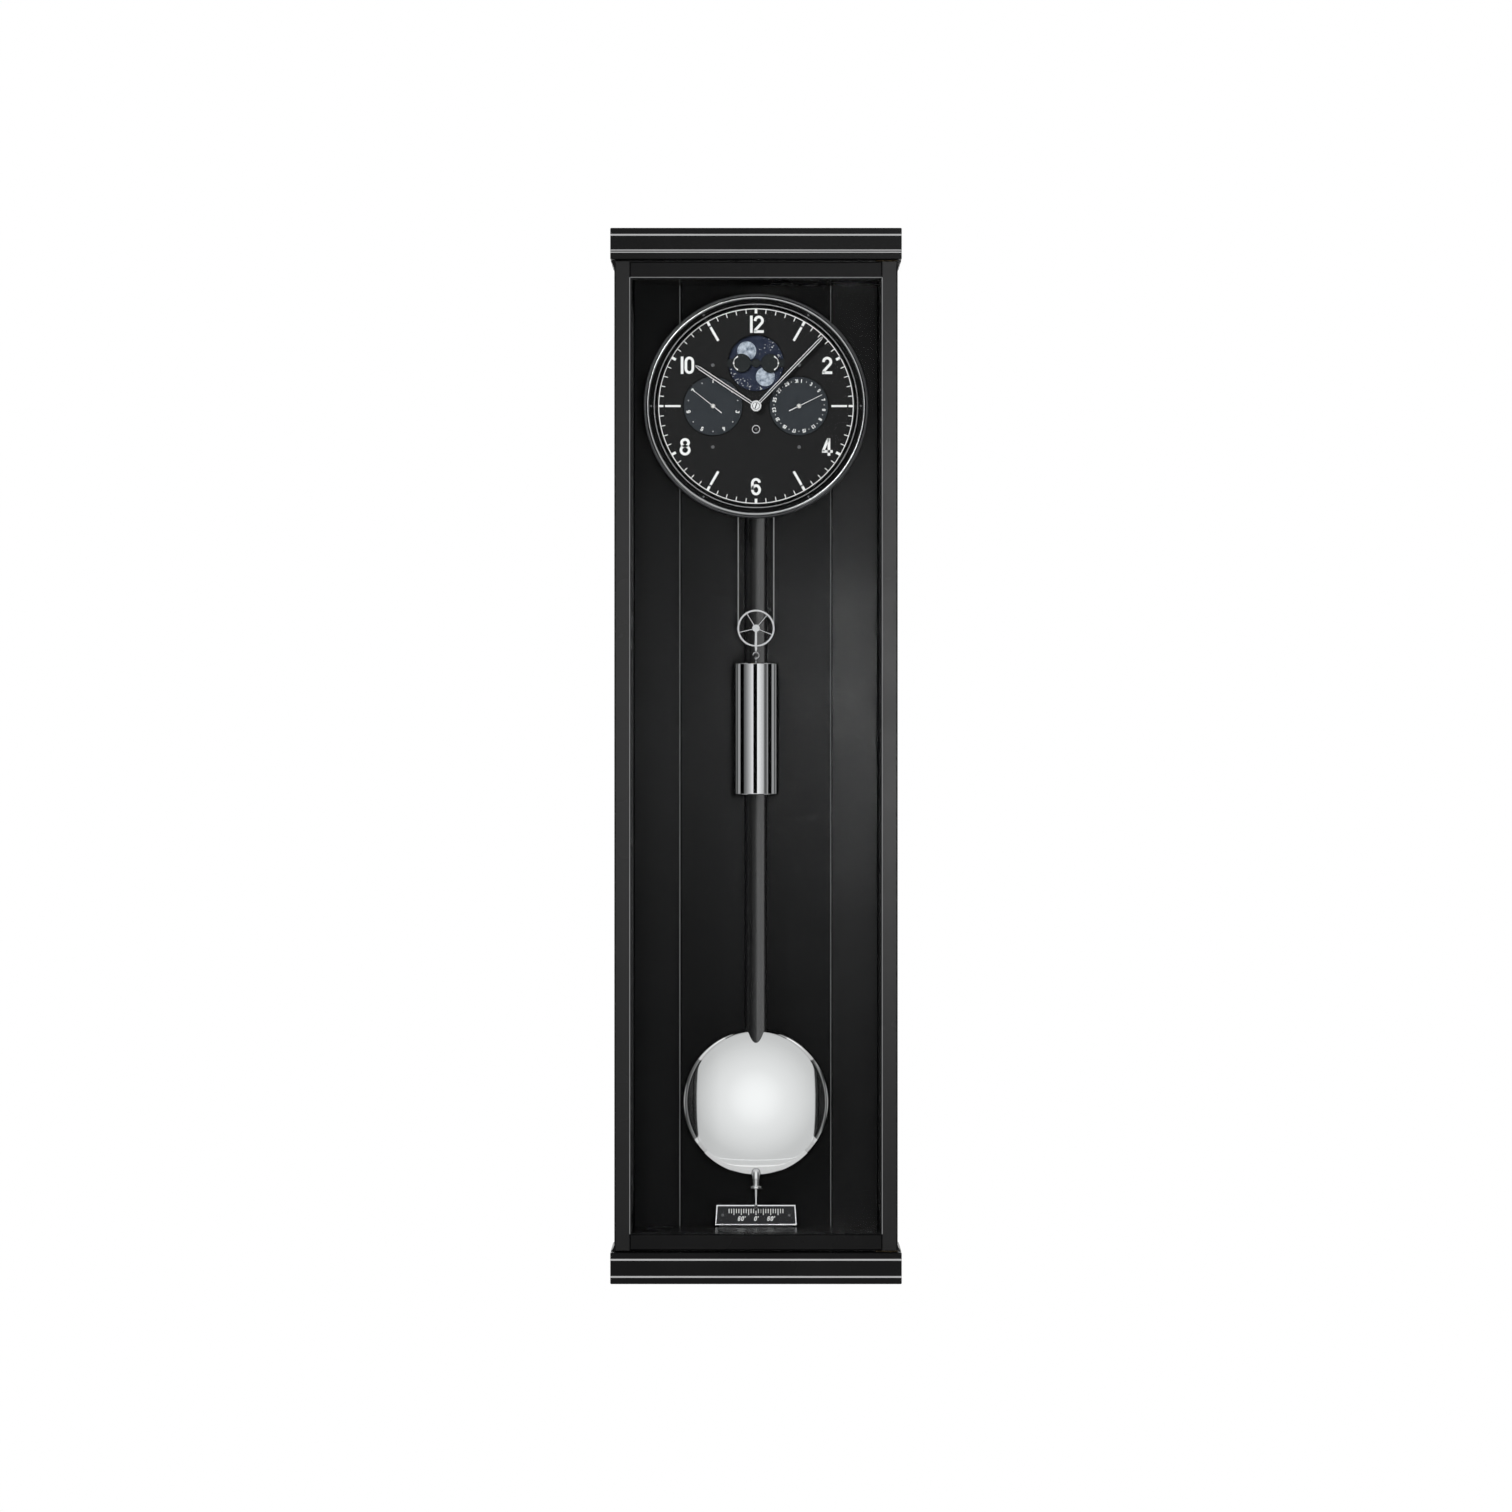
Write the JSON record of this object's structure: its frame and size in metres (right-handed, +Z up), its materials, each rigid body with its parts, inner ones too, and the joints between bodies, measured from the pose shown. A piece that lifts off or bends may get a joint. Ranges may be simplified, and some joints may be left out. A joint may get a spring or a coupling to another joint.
{
  "type": "regulator wall clock",
  "caption": "Weight-driven regulator wall clock in a slim black glazed case, with weekday, date and moon dials, a lens-bob pendulum and a beat scale.",
  "frame": {"origin": "centre of the hanger hole, in the plane of the wall", "axes": "+Z up, +Y into the wall, +X to the right of someone facing the dial; the dial faces -Y"},
  "size_m": [0.218, 0.15, 0.79],
  "materials": {
    "lacquered_wood": "black satin lacquer",
    "rail_wood": "plain planed wood",
    "rod_wood": "black satin lacquer",
    "inlay_metal": "polished",
    "steel": "fine satin",
    "glass": "clear",
    "hinge_brass": "satin",
    "movement_brass": "polished",
    "bracket_metal": "satin",
    "dial_black": "black satin paint with white printing",
    "channel_black": "black gloss",
    "scale_metal": "bright rim around a dark grey face",
    "subdial_blue": "dark blue grey",
    "moon_blue": "dark blue with two moons and stars",
    "cover_black": "black",
    "polished_steel": "mirror polish",
    "hand_steel": "polished bevels with a satin middle",
    "line_steel": "stranded steel line"
  },
  "bodies": {
    "case": {"case_sides": "lacquered_wood", "side_panes": "glass", "back_boards": "lacquered_wood", "end_boards": "lacquered_wood", "cornice": "lacquered_wood", "plinth": "lacquered_wood", "inlays": "inlay_metal", "hanging_rail": "rail_wood", "hanger_plate": "steel", "mounting_screws": "steel", "door_catch": "steel", "hinge_pivots": "hinge_brass", "scale_stand": "channel_black", "scale_plate": "scale_metal", "movement_bracket": "bracket_metal", "suspension_cock": "steel", "back_plate": "movement_brass", "front_plate": "movement_brass", "movement_pillars": "movement_brass", "weight_line": "line_steel", "dial_plate": "dial_black", "bezel": "polished_steel", "bezel_channel": "channel_black", "dial_ring": "polished_steel", "subdials": "subdial_blue", "moon_cover": "cover_black", "winding_bush": "polished_steel"},
    "door": {"door_stiles": "lacquered_wood", "door_rails": "lacquered_wood", "door_glass": "glass", "door_beads": "lacquered_wood", "door_strike": "steel"},
    "drum": {"line_drum": "movement_brass"},
    "great_wheel": {"great_wheel": "movement_brass"},
    "click": {"click": "steel"},
    "intermediate_wheel": {"intermediate_wheel": "movement_brass"},
    "centre_wheel": {"centre_wheel": "movement_brass"},
    "third_wheel": {"third_wheel": "movement_brass"},
    "escape_wheel": {"escape_wheel": "movement_brass"},
    "anchor": {"pallet_anchor": "steel", "crutch": "steel"},
    "pendulum": {"pendulum_suspension": "steel", "pendulum_rod": "rod_wood", "pendulum_bob": "polished_steel", "pendulum_tip": "polished_steel"},
    "rating_nut": {"rating_nut": "polished_steel"},
    "weight": {"weight": "polished_steel", "pulley_stirrup": "polished_steel"},
    "pulley": {"pulley": "polished_steel"},
    "minute_hand": {"minute_hand": "hand_steel", "cannon_pinion": "steel", "hand_nut": "hand_steel"},
    "hour_hand": {"hour_hand": "hand_steel", "hour_wheel": "movement_brass"},
    "minute_wheel": {"minute_wheel": "movement_brass"},
    "weekday_hand": {"weekday_hand": "hand_steel", "weekday_star": "movement_brass"},
    "date_hand": {"date_hand": "hand_steel", "date_star": "movement_brass"},
    "moon": {"moon_disc": "moon_blue"}
  },
  "joints": [
    {"name": "door_swing", "type": "hinge", "parent": "case", "child": "door", "pos_m": [0.103, -0.1315, -0.335], "axis": [0, 0, 1], "range_deg": [0, 92]},
    {"name": "escape_turn", "type": "hinge", "parent": "case", "child": "escape_wheel", "pos_m": [0, -0.0706, -0.05638], "axis": [0, 1, 0], "continuous": true},
    {"name": "third_turn", "type": "hinge", "parent": "case", "child": "third_wheel", "pos_m": [0.01372, -0.0726, -0.06338], "axis": [0, 1, 0], "continuous": true},
    {"name": "centre_turn", "type": "hinge", "parent": "case", "child": "centre_wheel", "pos_m": [0, -0.0746, -0.072], "axis": [0, 1, 0], "continuous": true},
    {"name": "intermediate_turn", "type": "hinge", "parent": "case", "child": "intermediate_wheel", "pos_m": [-0.01434, -0.0766, -0.07954], "axis": [0, 1, 0], "continuous": true},
    {"name": "great_turn", "type": "hinge", "parent": "case", "child": "great_wheel", "pos_m": [0, -0.0788, -0.0894], "axis": [0, 1, 0], "continuous": true},
    {"name": "click_turn", "type": "hinge", "parent": "great_wheel", "child": "click", "pos_m": [-0.00441, -0.0804, -0.10152], "axis": [0, 1, 0], "range_deg": [-5, 3], "stiffness_Nm_per_rad": 0.0001},
    {"name": "pendulum_swing", "type": "hinge", "parent": "case", "child": "pendulum", "pos_m": [0, -0.05, -0.038], "axis": [0, 1, 0], "range_deg": [-1.5, 1.5]},
    {"name": "anchor_swing", "type": "hinge", "parent": "case", "child": "anchor", "pos_m": [0, -0.0706, -0.038], "axis": [0, 1, 0], "range_deg": [-1.5, 1.5]},
    {"name": "nut_turn", "type": "hinge", "parent": "pendulum", "child": "rating_nut", "pos_m": [0, -0.05, -0.66], "axis": [0, 0, 1], "continuous": true},
    {"name": "weight_slide", "type": "slide", "parent": "case", "child": "weight", "axis": [0, 0, 1], "range_m": [-0.29468, 0.0842], "deforming": ["weight_line"]},
    {"name": "drum_turn", "type": "hinge", "parent": "case", "child": "drum", "pos_m": [0, -0.09, -0.0894], "axis": [0, 1, 0], "range_deg": [-721, 2521]},
    {"name": "pulley_turn", "type": "hinge", "parent": "weight", "child": "pulley", "pos_m": [0, -0.09, -0.2387], "axis": [0, 1, 0], "range_deg": [-361, 1261]},
    {"name": "minute_turn", "type": "hinge", "parent": "case", "child": "minute_hand", "pos_m": [0, -0.119, -0.072], "axis": [0, 1, 0], "continuous": true},
    {"name": "minute_wheel_turn", "type": "hinge", "parent": "case", "child": "minute_wheel", "pos_m": [0.0096, -0.106, -0.05537], "axis": [0, 1, 0], "continuous": true},
    {"name": "hour_turn", "type": "hinge", "parent": "case", "child": "hour_hand", "pos_m": [0, -0.117, -0.072], "axis": [0, 1, 0], "continuous": true},
    {"name": "weekday_turn", "type": "hinge", "parent": "case", "child": "weekday_hand", "pos_m": [-0.0323, -0.115, -0.072], "axis": [0, 1, 0], "continuous": true},
    {"name": "date_turn", "type": "hinge", "parent": "case", "child": "date_hand", "pos_m": [0.0323, -0.115, -0.072], "axis": [0, 1, 0], "continuous": true},
    {"name": "moon_turn", "type": "hinge", "parent": "case", "child": "moon", "pos_m": [0, -0.111, -0.0397], "axis": [0, 1, 0], "continuous": true}
  ],
  "couplings": [
    {"joint": "third_turn", "follows": "escape_turn", "ratio": -0.1},
    {"joint": "centre_turn", "follows": "escape_turn", "ratio": 0.0125},
    {"joint": "intermediate_turn", "follows": "escape_turn", "ratio": -0.003125},
    {"joint": "great_turn", "follows": "escape_turn", "ratio": 0.00058594},
    {"joint": "anchor_swing", "follows": "pendulum_swing", "ratio": 1},
    {"joint": "drum_turn", "follows": "weight_slide", "rad_per_m": -149.25},
    {"joint": "pulley_turn", "follows": "weight_slide", "rad_per_m": -74.627},
    {"joint": "minute_wheel_turn", "follows": "minute_turn", "ratio": -0.33333},
    {"joint": "hour_turn", "follows": "minute_turn", "ratio": 0.083333}
  ]
}
